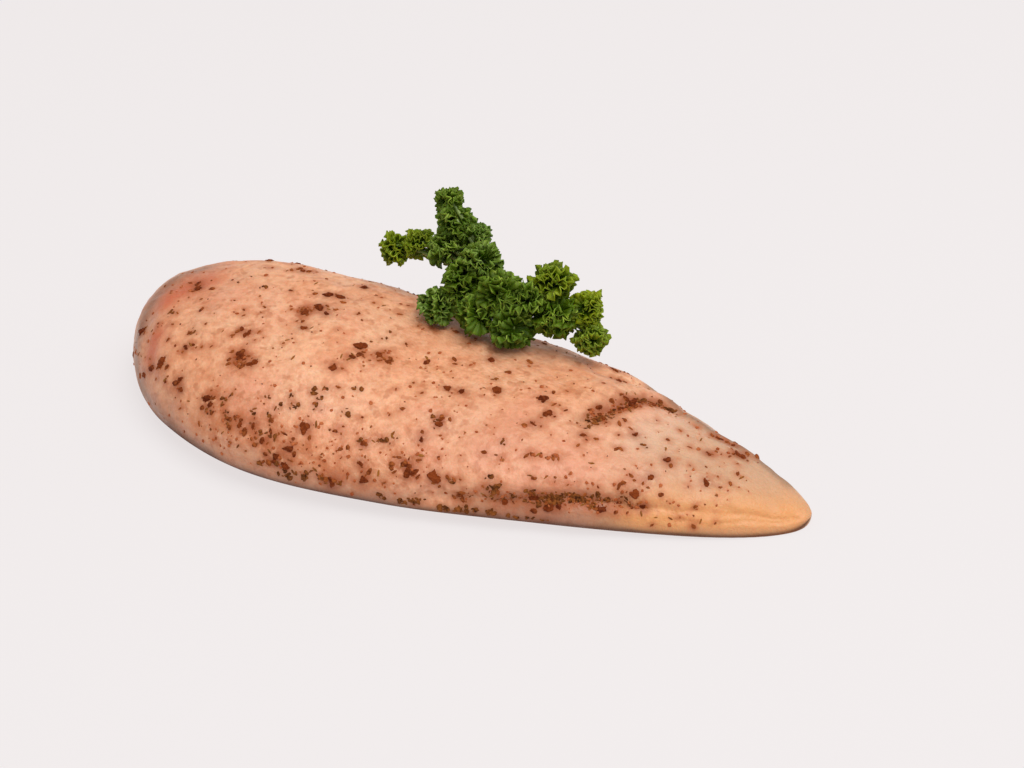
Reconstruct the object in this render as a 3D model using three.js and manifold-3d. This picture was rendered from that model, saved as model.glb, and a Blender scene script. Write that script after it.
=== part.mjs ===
// Raw chicken breast half, rubbed with dried herbs and pepper, with a sprig of curly parsley on top.
// Millimetres, +Z up. It lies on z = 0 with its length along X: the blunt shoulder end is at -X,
// the thin tip at +X, the thin outer edge towards -Y and the steep breastbone edge towards +Y.
import * as THREE from "three";
import { mergeVertices } from "three/addons/utils/BufferGeometryUtils.js";
import Module from "manifold-3d";

// Driving sizes of the breast. Each row gives the value at seven stations, from blunt end to tip,
// spaced as the cosine of equal angles, so that they crowd towards the two round ends.
const LENGTH = 196;
const NEAR_WIDTH = [19, 39, 50, 46, 35, 22.5, 10.5];
const FAR_WIDTH = [12, 20, 24.5, 24, 22.5, 14, 6.5];
const CREST_HEIGHT = [21.5, 29, 30.5, 26, 22, 14, 7];

// Cross-section: how high the widest line runs, as a share of the crest's height, and how square
// each quarter is, as a superellipse power. The underside sinks by DIP and is cut flat at z = 0.
const RIM_NEAR = 0.3;
const RIM_FAR = 0.5;
const POWER_NEAR = 2.05;
const POWER_FAR = 2.5;
const POWER_UNDER = 2.6;
const DIP = 3;

// The skin closes above the floor at both ends: height of each end and the angle it fades over.
const NOSE = { lift: 6, reach: 0.3, undercut: 0.35 };
const TIP = { lift: 2, reach: 0.22, undercut: 0.3 };

// Swells and hollows of the muscle: place along X, degrees round the section from the near rim
// over the top, radius, and height, which is negative for a hollow.
const SWELLS = [
  { x: -62, round: 120, radius: 17, height: 0.8 },
  { x: -30, round: 55, radius: 15, height: 0.7 },
  { x: -52, round: 30, radius: 10, height: -0.9 },
  { x: -8, round: 35, radius: 12, height: -0.8 },
  { x: 24, round: 45, radius: 14, height: 0.8 },
  { x: 48, round: 70, radius: 9, height: -0.9 },
  { x: 62, round: 45, radius: 10, height: 0.6 },
  { x: 34, round: 26, radius: 9, height: 0.7 },
];

// Creases between the muscle's folds: points as x and degrees round, half width and depth.
const CREASES = [
  { path: [[12, 1], [25, 4], [44, 14], [56, 18]], width: 3, depth: 1.6 },
  { path: [[56, 18], [71, 20], [95, 32]], width: 2.6, depth: 0.9 },
  { path: [[40, 74], [44, 90], [48, 113], [51, 118], [57, 130]], width: 3, depth: 1 },
  { path: [[33, 121], [42, 127], [50, 152]], width: 3, depth: 0.9 },
  { path: [[-88, 60], [-80, 28], [-66, 10]], width: 3.5, depth: 0.7 },
];

// Herb flakes and cracked pepper, pressed half into the meat. A drift runs along a line, or about
// a point, given as x and degrees round, with its spread in millimetres and its share of flakes.
const FLAKES = 104;
const FLAKE_LARGEST = 1.55;
const FLAKE_SMALLEST = 0.75;
const FLAKE_FLATNESS = 0.55;
const FLAKE_BURY = 0.25;
const FLAKE_ROUND = [-12, 168];
const FLAKE_FLOOR = 3.5;
const FLAKE_END_MARGIN = 3;
const FLAKE_CLEARANCE = 2;
const DRIFTS = [
  { from: [-88, 26], to: [78, 28], spread: [5, 38], share: 0.25 },
  { from: [-88, 74], to: [80, 80], spread: [5, 36], share: 0.23 },
  { from: [-80, 130], to: [80, 130], spread: [5, 38], share: 0.11 },
  { from: [-50, 16], to: [10, 20], spread: [6, 22], share: 0.12 },
  { from: [18, 5], to: [60, 18], spread: [4, 9], share: 0.12 },
  { from: [41, 78], to: [54, 122], spread: [3, 8], share: 0.07 },
  { from: [-44, 81], to: [-38, 85], spread: [1.5, 3], share: 0.02 },
  { from: [33, 43], to: [40, 44], spread: [1.5, 2], share: 0.02 },
  { from: [-50, 50], to: [-46, 50], spread: [2, 5], share: 0.02 },
  { from: [-24, 66], to: [0, 82], spread: [3, 6], share: 0.04 },
];

// Parsley: each head is a ruffled leaf collar, with a second one inside it on the largest head, at
// the end of a stalk that leaves the hub. Places and reach are in millimetres.
const HUB = [5, 18, 27];
const CUT_END = [[5, 18, 27], [2, 25, 23], [-3, 30.5, 17]];
const HEADS = [
  { at: [-15, 23, 53.5], reach: 4.8 },
  { at: [-12.5, 21.5, 49], reach: 6.6 },
  { at: [-7, 22, 45.5], reach: 6 },
  { at: [-29.5, 19, 37.5], reach: 5.6 },
  { at: [-22.5, 20, 40.5], reach: 5.8 },
  { at: [-13.5, 19, 41.5], reach: 6.6 },
  { at: [-2.5, 16, 41.5], reach: 7 },
  { at: [-6, 12, 36.5], reach: 7 },
  { at: [-10, 7, 31], reach: 6.2 },
  { at: [5.5, 10.5, 37], reach: 7.8 },
  { at: [0.5, 7.5, 31.5], reach: 7.1 },
  { at: [12.5, 11, 36.5], reach: 7.5 },
  { at: [11.5, 7, 30.5], reach: 7.2 },
  { at: [18, 17, 40.5], reach: 7.2 },
  { at: [21, 13, 33], reach: 7.2 },
  { at: [28, 17, 34.5], reach: 5.8 },
  { at: [30.5, 14, 28.5], reach: 5.6 },
];
const COLLARS = [
  { tilt: 1.2, curl: 0.8, reach: 1, raised: 0 },
  { tilt: 0.45, curl: 0.25, reach: 0.85, raised: 1.2 },
];
const INNER_COLLAR_REACH = 7.6;
const LEAF_THICKNESS = 0.6;
const LEAF_WAVES = 4;
const LEAF_RUFFLE = 1.7;
const LEAF_LOBE = 0.22;
const LEAVES_IN_COLLAR = 3;
const HEAD_LEAN = [0, -0.5, 0.9];
const STALK_RADIUS = 0.8;
const STALK_BOW = 0.12;
const LEAF_CLEARANCE = 0.5;

// Fineness of the meshes, and how far a vertex may move when flat areas are thinned out.
const STATIONS = 60;
const AROUND = 40;
const LEAF_RINGS = 2;
const LEAF_SPOKES = 12;
const STALK_SIDES = 4;
const STALK_STEPS = 4;
const THINNING = 0.05;
const SLOPE_STEP = 0.02;
const SEED = 4.7;

const wasm = await Module();
wasm.setup();

const radians = THREE.MathUtils.degToRad;
const fade = (value, reach) => Math.exp(-((value / reach) ** 2));

// Pseudo-random number from 0 to 1, the same for the same item and use.
function draw(item, use) {
  const wave = Math.sin(item * 12.9898 + use * 78.233 + SEED) * 43758.5453;
  return wave - Math.floor(wave);
}

// Smooth curve through the station values, zero at both ends, with the angle running 0 to pi.
function along(values, angle) {
  const knots = [-values[0], 0, ...values, 0, -values[values.length - 1]];
  const spans = values.length + 1;
  const place = Math.min(Math.max((angle / Math.PI) * spans, 0), spans - 1e-9);
  const first = Math.floor(place);
  const part = place - first;
  const [a, b, c, d] = knots.slice(first, first + 4);
  const bend = 2 * a - 5 * b + 4 * c - d;
  const twist = 3 * b - 3 * c + d - a;
  return 0.5 * (2 * b + (c - a) * part + bend * part ** 2 + twist * part ** 3);
}

// The breast before creases: angle 0 to pi runs from blunt end to tip, round 0 to 2 pi runs from
// the near rim over the top to the far rim and back along the underside.
function smoothSkin(angle, round) {
  const side = -Math.cos(round);
  const rise = Math.sin(round);
  const crest = along(CREST_HEIGHT, angle);
  const far = THREE.MathUtils.smoothstep((1 + side) / 2, 0, 1);
  const rim = crest * THREE.MathUtils.lerp(RIM_NEAR, RIM_FAR, far);
  const power = rise >= 0 ? THREE.MathUtils.lerp(POWER_NEAR, POWER_FAR, far) : POWER_UNDER;
  const out = Math.sign(side) * Math.abs(side) ** (2 / power);
  const up = Math.abs(rise) ** (2 / power);
  const lift = NOSE.lift * fade(angle, NOSE.reach) + TIP.lift * fade(Math.PI - angle, TIP.reach);
  const noseCut = Math.sin((Math.PI / 2) * Math.min(1, angle / NOSE.undercut));
  const tipCut = Math.sin((Math.PI / 2) * Math.min(1, (Math.PI - angle) / TIP.undercut));
  const under = (rim + DIP + lift) * up * noseCut * tipCut;
  const height = lift + rim + (rise >= 0 ? (crest - rim) * up : -under);
  const width = along(side < 0 ? NEAR_WIDTH : FAR_WIDTH, angle);
  return new THREE.Vector3((-LENGTH / 2) * Math.cos(angle), width * out, height);
}

const stationAngle = (x) => Math.acos(THREE.MathUtils.clamp((-2 * x) / LENGTH, -1, 1));
const onSkin = ([x, round]) => smoothSkin(stationAngle(x), radians(round));

const swells = SWELLS.map((swell) => ({ ...swell, centre: onSkin([swell.x, swell.round]) }));
const creases = CREASES.map((crease) => ({ ...crease, path: crease.path.map(onSkin) }));

// Distance from a point to a path of straight pieces.
function distanceToPath(point, path) {
  const nearest = new THREE.Vector3();
  let distance = Infinity;
  for (let i = 0; i + 1 < path.length; i += 1) {
    new THREE.Line3(path[i], path[i + 1]).closestPointToPoint(point, true, nearest);
    distance = Math.min(distance, nearest.distanceTo(point));
  }
  return distance;
}

// Height of the swells, less the depth of the creases, at a point of the smooth skin.
function relief(point) {
  let height = 0;
  for (const swell of swells) {
    height += swell.height * fade(point.distanceTo(swell.centre), swell.radius);
  }
  for (const crease of creases) {
    height -= crease.depth * fade(distanceToPath(point, crease.path), crease.width);
  }
  return height;
}

// The finished skin, moved outwards by grow. Nothing below the floor is kept.
function skin(angle, round, grow = 0) {
  const point = smoothSkin(angle, round);
  const move = relief(point) + grow;
  const lower = Math.sin(round) < 0 ? Math.max(0, 1 + 3 * Math.sin(round)) : 1;
  const step = grow > 0 ? move : move * lower;
  point.y -= step * Math.cos(round);
  point.z += step * Math.sin(round);
  point.z = Math.max(point.z, -grow);
  return point;
}

// Faces of a grid of points, rows by columns. Closed columns join the last to the first.
function gridFaces(rows, columns, closed) {
  const faces = [];
  const last = closed ? columns : columns - 1;
  for (let row = 0; row + 1 < rows; row += 1) {
    for (let column = 0; column < last; column += 1) {
      const a = row * columns + column;
      const b = row * columns + ((column + 1) % columns);
      faces.push([a, b + columns, b], [a, a + columns, b + columns]);
    }
  }
  return faces;
}

function geometryOf(points, faces) {
  const geometry = new THREE.BufferGeometry();
  geometry.setAttribute("position", new THREE.Float32BufferAttribute(points.flat(), 3));
  geometry.setIndex(faces.flat());
  return geometry;
}

// A closed three.js geometry as a solid that can be joined and cut.
function solidOf(geometry) {
  const bare = geometry.clone();
  bare.deleteAttribute("normal");
  bare.deleteAttribute("uv");
  const merged = mergeVertices(bare, 1e-4);
  return new wasm.Manifold(new wasm.Mesh({
    numProp: 3,
    vertProperties: new Float32Array(merged.attributes.position.array),
    triVerts: new Uint32Array(merged.index.array),
  }));
}

// The largest connected body of a solid, with its flat areas thinned, as a named mesh.
function meshOf(name, solid, material) {
  const bodies = solid.simplify(THINNING).decompose();
  bodies.sort((a, b) => b.volume() - a.volume());
  const kept = bodies[0].getMesh();
  const geometry = new THREE.BufferGeometry();
  geometry.setAttribute("position", new THREE.BufferAttribute(kept.vertProperties, 3));
  geometry.setIndex(new THREE.BufferAttribute(kept.triVerts, 1));
  geometry.computeVertexNormals();
  const mesh = new THREE.Mesh(geometry, material);
  mesh.name = name;
  return mesh;
}

// The breast as a grid of rings closed by a point at each end.
function breastBody(grow = 0) {
  const points = [];
  for (let row = 1; row < STATIONS; row += 1) {
    for (let column = 0; column < AROUND; column += 1) {
      const round = (2 * Math.PI * column) / AROUND;
      points.push(skin((Math.PI * row) / STATIONS, round, grow).toArray());
    }
  }
  const faces = gridFaces(STATIONS - 1, AROUND, true);
  const start = points.length;
  const end = start + 1;
  points.push([-LENGTH / 2 - grow, 0, NOSE.lift], [LENGTH / 2 + grow, 0, TIP.lift]);
  for (let column = 0; column < AROUND; column += 1) {
    const next = (column + 1) % AROUND;
    const lastRow = start - AROUND;
    faces.push([start, column, next], [end, lastRow + next, lastRow + column]);
  }
  return solidOf(geometryOf(points, faces));
}

// Where flake number item lies, drawn from the drift whose share of the count it falls in.
function flakePlace(item) {
  let pick = draw(item, 1);
  const drift = DRIFTS.find((candidate) => {
    pick -= candidate.share;
    return pick < 0;
  }) ?? DRIFTS[0];
  const run = draw(item, 2);
  const x = THREE.MathUtils.lerp(drift.from[0], drift.to[0], run);
  const middle = THREE.MathUtils.lerp(drift.from[1], drift.to[1], run);
  const round = middle + drift.spread[1] * (draw(item, 3) + draw(item, 4) - 1);
  return [x + drift.spread[0] * (draw(item, 5) + draw(item, 6) - 1), round];
}

// Turns local z onto the skin's normal at the given place, and moves it there.
function skinFrame([x, round]) {
  const angle = stationAngle(x);
  const turn = radians(round);
  const here = skin(angle, turn);
  const ahead = skin(angle + SLOPE_STEP, turn).sub(here);
  const over = skin(angle, turn + SLOPE_STEP).sub(here);
  const normal = over.cross(ahead).normalize();
  const frame = new THREE.Matrix4().lookAt(normal, new THREE.Vector3(), new THREE.Vector3(1, 0, 0.01));
  return frame.setPosition(here);
}

// A unit icosahedron whose corners are shared by its faces.
function pebble() {
  const geometry = new THREE.IcosahedronGeometry(1, 0);
  geometry.deleteAttribute("normal");
  geometry.deleteAttribute("uv");
  return mergeVertices(geometry);
}

// One flake: a flattened pebble with uneven corners, turned at random and half sunk.
function flake(item) {
  const share = item / FLAKES;
  const size = THREE.MathUtils.lerp(FLAKE_LARGEST, FLAKE_SMALLEST, Math.sqrt(share));
  const geometry = pebble();
  const corners = geometry.attributes.position;
  for (let i = 0; i < corners.count; i += 1) {
    const push = 0.75 + 0.5 * draw(item, 20 + i);
    corners.setXYZ(i, corners.getX(i) * push, corners.getY(i) * push, corners.getZ(i) * push);
  }
  const slim = 0.5 + 0.45 * draw(item, 7);
  geometry.scale(size, size * slim, size * slim * FLAKE_FLATNESS);
  geometry.rotateZ(2 * Math.PI * draw(item, 8));
  geometry.translate(0, 0, size * slim * FLAKE_FLATNESS * (0.5 - FLAKE_BURY));
  return geometry.applyMatrix4(skinFrame(flakePlace(item)));
}

// A flake is left out on the underside, near the floor, and under the parsley.
function flakeFits(item) {
  const [x, round] = flakePlace(item);
  const inside = Math.abs(x) < LENGTH / 2 - FLAKE_END_MARGIN;
  const above = round > FLAKE_ROUND[0] && round < FLAKE_ROUND[1];
  const point = skin(stationAngle(x), radians(round));
  const gaps = HEADS.map((head) => point.distanceTo(new THREE.Vector3(...head.at)) - head.reach);
  return inside && above && Math.min(...gaps) > FLAKE_CLEARANCE && point.z > FLAKE_FLOOR;
}

function breast() {
  const flakes = [];
  for (let item = 0; item < FLAKES; item += 1) {
    if (flakeFits(item)) {
      flakes.push(solidOf(flake(item)));
    }
  }
  const material = new THREE.MeshStandardMaterial({ color: 0xe29f7c, roughness: 0.42, metalness: 0 });
  return meshOf("breast", wasm.Manifold.union([breastBody(), ...flakes]), material);
}

// Directions of a head: up away from the hub and towards the light, and two across it.
function headAxes(head, number) {
  const centre = new THREE.Vector3(...head.at);
  const up = centre.clone().sub(new THREE.Vector3(...HUB)).normalize();
  up.add(new THREE.Vector3(...HEAD_LEAN)).normalize();
  const side = new THREE.Vector3(0, 0, 1).cross(up).normalize();
  side.applyAxisAngle(up, 2 * Math.PI * draw(number, 40));
  return { centre, up, side, other: up.clone().cross(side) };
}

// Middle surface of a collar: a cone that opens and curls down towards its edge, where it is
// ruffled; the edge is notched between one leaf and the next.
function collarPoint(head, axes, collar, phase, share, sweep) {
  const notch = LEAF_LOBE * (0.5 + 0.5 * Math.cos(LEAVES_IN_COLLAR * sweep)) ** 4;
  const radius = head.reach * collar.reach * share * (1 - notch);
  const tilt = collar.tilt + collar.curl * share ** 2;
  const ruffle = LEAF_RUFFLE * share ** 1.5 * Math.sin(LEAF_WAVES * sweep + phase);
  const outward = axes.side.clone().multiplyScalar(Math.cos(sweep));
  outward.addScaledVector(axes.other, Math.sin(sweep));
  return axes.centre.clone()
    .addScaledVector(axes.up, collar.raised + radius * Math.cos(tilt) + ruffle * Math.sin(tilt))
    .addScaledVector(outward, radius * Math.sin(tilt) - ruffle * Math.cos(tilt));
}

// A collar of leaves as a thin closed solid: rings of points on both faces, each closed by a
// point on the stalk, and joined to each other along the edge.
function collarSolid(head, number, collar) {
  const axes = headAxes(head, number);
  const phase = 2 * Math.PI * draw(number, 41 + COLLARS.indexOf(collar));
  const at = (share, sweep) => collarPoint(head, axes, collar, phase, share, sweep);
  const upper = [];
  const lower = [];
  for (let ring = 1; ring <= LEAF_RINGS; ring += 1) {
    for (let spoke = 0; spoke < LEAF_SPOKES; spoke += 1) {
      const share = ring / LEAF_RINGS;
      const sweep = (2 * Math.PI * spoke) / LEAF_SPOKES;
      const here = at(share, sweep);
      const outward = at(share + SLOPE_STEP, sweep).sub(here);
      const sideways = at(share, sweep + SLOPE_STEP).sub(here);
      const half = outward.cross(sideways).setLength(LEAF_THICKNESS / 2);
      upper.push(here.clone().add(half).toArray());
      lower.push(here.clone().sub(half).toArray());
    }
  }
  const count = upper.length;
  const heights = [1, -1].map((sign) => collar.raised + sign * LEAF_THICKNESS);
  const tops = heights.map((height) => axes.centre.clone().addScaledVector(axes.up, height));
  const faces = gridFaces(LEAF_RINGS, LEAF_SPOKES, true);
  faces.push(...faces.map(([a, b, c]) => [a + count, c + count, b + count]));
  for (let spoke = 0; spoke < LEAF_SPOKES; spoke += 1) {
    const next = (spoke + 1) % LEAF_SPOKES;
    const [a, b] = [count - LEAF_SPOKES + spoke, count - LEAF_SPOKES + next];
    faces.push([2 * count, spoke, next], [2 * count + 1, count + next, count + spoke]);
    faces.push([a, b + count, b], [a, a + count, b + count]);
  }
  const points = [...upper, ...lower, ...tops.map((top) => top.toArray())];
  return solidOf(geometryOf(points, faces));
}

// A stalk: a round section carried along a smooth path.
function stalk(points, radius) {
  const corners = Array.from({ length: STALK_SIDES }, (_, side) => {
    const turn = (2 * Math.PI * side) / STALK_SIDES;
    return new THREE.Vector2(radius * Math.cos(turn), radius * Math.sin(turn));
  });
  const section = new THREE.Shape(corners);
  const extrudePath = new THREE.CatmullRomCurve3(points.map((point) => new THREE.Vector3(...point)));
  const options = { steps: STALK_STEPS, bevelEnabled: false, extrudePath };
  return solidOf(new THREE.ExtrudeGeometry(section, options));
}

// Stalk from the hub to just inside a head, bowed upwards.
function headStalk(head) {
  const middle = HUB.map((value, axis) => 0.5 * (value + head.at[axis]));
  middle[2] += STALK_BOW * Math.abs(head.at[0] - HUB[0]) + 1;
  const end = head.at.map((value, axis) => value + 0.1 * (value - HUB[axis]));
  return stalk([HUB, middle, end], STALK_RADIUS);
}

function parsley() {
  const collars = HEADS.flatMap((head, number) => {
    const nested = head.reach < INNER_COLLAR_REACH ? COLLARS.slice(0, 1) : COLLARS;
    return nested.map((collar) => collarSolid(head, number, collar));
  });
  const stalks = [...HEADS.map(headStalk), stalk(CUT_END, STALK_RADIUS * 1.3)];
  const sprig = wasm.Manifold.union([...collars, ...stalks]);
  const material = new THREE.MeshStandardMaterial({ color: 0x3f6a24, roughness: 0.55, metalness: 0 });
  return meshOf("parsley", sprig.subtract(breastBody(LEAF_CLEARANCE)), material);
}

const chickenBreast = new THREE.Group();
chickenBreast.name = "raw_chicken_breast";
chickenBreast.add(breast(), parsley());

export default chickenBreast;
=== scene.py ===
import math

import bmesh
import bpy
import numpy as np
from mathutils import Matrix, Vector


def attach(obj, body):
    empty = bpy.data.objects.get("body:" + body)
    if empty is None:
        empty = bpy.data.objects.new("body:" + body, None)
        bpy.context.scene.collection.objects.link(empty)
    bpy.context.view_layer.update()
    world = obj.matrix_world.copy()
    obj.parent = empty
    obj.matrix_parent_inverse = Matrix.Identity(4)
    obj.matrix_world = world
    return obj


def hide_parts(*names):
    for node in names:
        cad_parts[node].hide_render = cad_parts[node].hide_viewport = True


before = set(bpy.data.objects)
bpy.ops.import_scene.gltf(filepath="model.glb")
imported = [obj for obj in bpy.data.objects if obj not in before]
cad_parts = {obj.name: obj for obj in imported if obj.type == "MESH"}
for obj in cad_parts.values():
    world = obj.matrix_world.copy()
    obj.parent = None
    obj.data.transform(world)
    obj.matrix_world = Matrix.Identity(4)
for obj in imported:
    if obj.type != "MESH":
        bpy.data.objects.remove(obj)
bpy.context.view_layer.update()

# The meat: one raw boneless breast half, a single teardrop muscle that lies on its flat rib side.
# Its skin is a closed grid of rings round the muscle, with folds, hollows and a fine fibrous
# relief; the colours of fat, silverskin, blood and spice stains are painted on it as masks, and so
# is painted shade under the lip, along the outer edge and near the floor; the brown in the creases
# is spice stain and painted shade.
MM = 0.001
LENGTH = 196.0
NEAR_WIDTH = [19, 39, 50, 46, 35, 22.5, 10.5]
FAR_WIDTH = [12, 20, 24.5, 24, 22.5, 14, 6.5]
CREST_HEIGHT = [21.5, 29, 30.5, 26, 22, 14, 7]
RIM_NEAR, RIM_FAR = 0.3, 0.5
POWER_NEAR, POWER_FAR, POWER_UNDER = 2.05, 2.5, 2.6
DIP = 3.0
NOSE = {"lift": 6.0, "reach": 0.3, "undercut": 0.35}
TIP = {"lift": 2.0, "reach": 0.22, "undercut": 0.3}
MEAT_RINGS = 380
MEAT_COLUMNS = 240

# Swells and hollows: x, degrees round the section, radius, height. Creases: path, width, depth.
SWELLS = [
    (-62, 120, 17, 0.8), (-30, 55, 15, 0.7), (-52, 30, 10, -0.9), (-8, 35, 12, -0.8),
    (24, 45, 14, 0.8), (48, 70, 9, -0.9), (62, 45, 10, 0.6), (34, 26, 9, 0.7),
]
NEAR_CREASE = [(12, 1), (25, 4), (44, 14), (56, 18)]
TIP_CREASE = [(56, 18), (71, 20), (95, 32)]
TOP_CREASE = [(40, 74), (44, 90), (48, 113), (51, 118), (57, 130)]
FAR_CREASE = [(33, 121), (42, 127), (50, 152)]
END_CREASE = [(-88, 60), (-80, 28), (-66, 10)]
CREASES = [
    (NEAR_CREASE, 3, 1.6), (TIP_CREASE, 2.6, 0.9), (TOP_CREASE, 3, 1), (FAR_CREASE, 3, 0.9),
    (END_CREASE, 3.5, 0.7),
]
SILVERSKIN = [(47, 146), (54, 139), (61, 133), (72, 134), (81, 136), (90, 146)]
FAT_FOLD = [(68, 6), (82, 9), (94, 14)]
# Narrow grooves inside the creases, and the thin edge of the silverskin: path, width, height.
GROOVES = [
    (NEAR_CREASE, 1.1, -0.4), (TIP_CREASE, 1.0, -0.5), (TOP_CREASE, 1.0, -0.5),
    (FAR_CREASE, 1.0, -0.5), (SILVERSKIN, 0.9, 0.45), (FAT_FOLD, 0.8, -0.4),
]
# Relief finer than the folds: size of its lumps along x, across and up, and its height.
FINE_RELIEF = [((15, 13, 13), 0.5), ((7, 5, 5), 0.42), ((10, 1.7, 1.7), 0.16), ((2.4, 2, 2), 0.12)]
# The lumps are set low by a share of their height. Grooves and tints wander about their paths
# by lumps of this size and reach.
RELIEF_SINK = 0.3
WANDER_SIZE, WANDER_REACH = 6.0, 1.1
WANDER_SEEDS = (31, 32, 33)
# How fast the relief fades below the widest line, and the sine of the angle where it starts to
# fade at both ends.
UNDERSIDE_FADE = 3
END_FADE = 0.12
# Uneven steps that make the pseudo-random numbers.
SCRAMBLE = 43758.5453
CORNER_STEPS = (127.1, 311.7, 74.7)
SEED_STEP = 17.3
ITEM_STEP, USE_STEP = 12.9898, 78.233
SEED = 4.7


def along(values, angle):
    """Catmull-Rom curve through the station values, zero at both ends, odd beyond them."""
    knots = np.array([-values[0], 0, *values, 0, -values[-1]], float)
    spans = len(values) + 1
    place = np.clip(angle / math.pi * spans, 0, spans - 1e-9)
    first = np.floor(place).astype(int)
    part = place - first
    a, b, c, d = (knots[first + i] for i in range(4))
    bend = 2 * a - 5 * b + 4 * c - d
    twist = 3 * b - 3 * c + d - a
    return 0.5 * (2 * b + (c - a) * part + bend * part**2 + twist * part**3)


def smooth_skin(angle, turn):
    """Section at each station: a superellipse with its own half widths near and far, a raised
    widest line, a crest above it, and an underside that sinks below the floor."""
    side = -np.cos(turn)
    rise = np.sin(turn)
    crest = along(CREST_HEIGHT, angle)
    far = (1 + side) / 2
    far = far * far * (3 - 2 * far)
    rim = crest * (RIM_NEAR + (RIM_FAR - RIM_NEAR) * far)
    power = np.where(rise >= 0, POWER_NEAR + (POWER_FAR - POWER_NEAR) * far, POWER_UNDER)
    out = np.sign(side) * np.abs(side) ** (2 / power)
    up = np.abs(rise) ** (2 / power)
    lift = NOSE["lift"] * np.exp(-((angle / NOSE["reach"]) ** 2))
    lift = lift + TIP["lift"] * np.exp(-(((math.pi - angle) / TIP["reach"]) ** 2))
    cut = np.sin(np.minimum(1, angle / NOSE["undercut"]) * math.pi / 2)
    cut = cut * np.sin(np.minimum(1, (math.pi - angle) / TIP["undercut"]) * math.pi / 2)
    height = lift + rim + np.where(rise >= 0, (crest - rim) * up, -(rim + DIP + lift) * up * cut)
    width = np.where(side < 0, along(NEAR_WIDTH, angle), along(FAR_WIDTH, angle)) * out
    return np.stack([-LENGTH / 2 * np.cos(angle), width, height], -1)


def station_angle(x):
    """Angle whose cosine places the station at x."""
    return np.arccos(np.clip(-2 * np.asarray(x, float) / LENGTH, -1, 1))


def on_skin(places):
    """Points of the smooth skin at (x, degrees round) places."""
    x, degrees = np.array(places, float).T
    return smooth_skin(station_angle(x), np.radians(degrees))


def path_distance(points, path):
    """Least distance from each point to a path of straight pieces laid on the skin."""
    corners = on_skin(path)
    best = np.full(points.shape[:-1], np.inf)
    for start, end in zip(corners[:-1], corners[1:]):
        run = end - start
        share = np.clip((points - start) @ run / (run @ run), 0, 1)
        gap = points - start - share[..., None] * run
        best = np.minimum(best, np.linalg.norm(gap, axis=-1))
    return best


def lumps(points, sizes, seed):
    """Value noise from -1 to 1: a random value at each corner of a lattice of boxes of the given
    sizes, eased between corners."""
    place = points / np.array(sizes, float)
    corner = np.floor(place)
    part = place - corner
    part = part * part * (3 - 2 * part)
    total = np.zeros(points.shape[:-1])
    for step in np.ndindex(2, 2, 2):
        at = corner + step
        wave = np.sin(at @ np.array(CORNER_STEPS) + seed * SEED_STEP) * SCRAMBLE
        weight = np.prod(np.where(np.array(step) == 1, part, 1 - part), axis=-1)
        total += weight * (wave - np.floor(wave))
    return 2 * total - 1


def wandered(points):
    """Points moved sideways by slow lumps, so that what follows a path wanders about it."""
    moves = [lumps(points, (WANDER_SIZE,) * 3, seed) for seed in WANDER_SEEDS]
    return points + WANDER_REACH * np.stack(moves, -1)


def relief(points):
    """Swells less creases, each a bell curve of the distance, plus the narrow grooves, which
    wander about their paths, and the fine lumps."""
    height = np.zeros(points.shape[:-1])
    for x, degrees, radius, rise in SWELLS:
        gap = np.linalg.norm(points - on_skin([(x, degrees)])[0], axis=-1)
        height += rise * np.exp(-((gap / radius) ** 2))
    for path, width, depth in CREASES:
        height -= depth * np.exp(-((path_distance(points, path) / width) ** 2))
    moved = wandered(points)
    for path, width, rise in GROOVES:
        height += rise * np.exp(-((path_distance(moved, path) / width) ** 2))
    for number, (sizes, rise) in enumerate(FINE_RELIEF):
        height += rise * (lumps(points, sizes, number + 1) - RELIEF_SINK)
    return height


def skin(angle, turn):
    """Finished skin: the smooth skin moved outwards by its relief, which fades out underneath."""
    points = smooth_skin(angle, turn)
    lower = np.where(np.sin(turn) < 0, np.maximum(0, 1 + UNDERSIDE_FADE * np.sin(turn)), 1)
    ends = np.minimum(1, np.sin(angle) / END_FADE)
    move = relief(points) * lower * ends
    points[..., 1] -= move * np.cos(turn)
    points[..., 2] += move * np.sin(turn)
    points[..., 2] = np.maximum(points[..., 2], 0)
    return points


def grid_faces(rows, columns, closed=True):
    """Quads of a grid of rows by columns; closed columns join the last to the first."""
    last = columns if closed else columns - 1
    row, column = np.meshgrid(np.arange(rows - 1), np.arange(last), indexing="ij")
    here = row * columns + column
    over = row * columns + (column + 1) % columns
    return np.stack([here, here + columns, over + columns, over], -1).reshape(-1, 4)


def new_piece(name, points, faces, masks=None, smooth=True):
    """Mesh object at the origin from points in millimetres and lists of faces, with one float
    attribute on the points for each mask, and smooth or flat faces."""
    mesh = bpy.data.meshes.new(name)
    sides = [face for part in faces for face in part.tolist()]
    mesh.from_pydata((points.reshape(-1, 3) * MM).tolist(), [], sides)
    mesh.polygons.foreach_set("use_smooth", np.full(len(mesh.polygons), smooth))
    for label, values in (masks or {}).items():
        layer = mesh.attributes.new(label, "FLOAT", "POINT")
        layer.data.foreach_set("value", np.asarray(values, np.float32).ravel())
    mesh.validate()
    mesh.update()
    piece = bpy.data.objects.new(name, mesh)
    bpy.context.scene.collection.objects.link(piece)
    return piece


def draw(item, use):
    """Pseudo-random number from 0 to 1, the same for the same item and use."""
    wave = np.sin(np.asarray(item) * ITEM_STEP + use * USE_STEP + SEED) * SCRAMBLE
    return wave - np.floor(wave)


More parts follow.
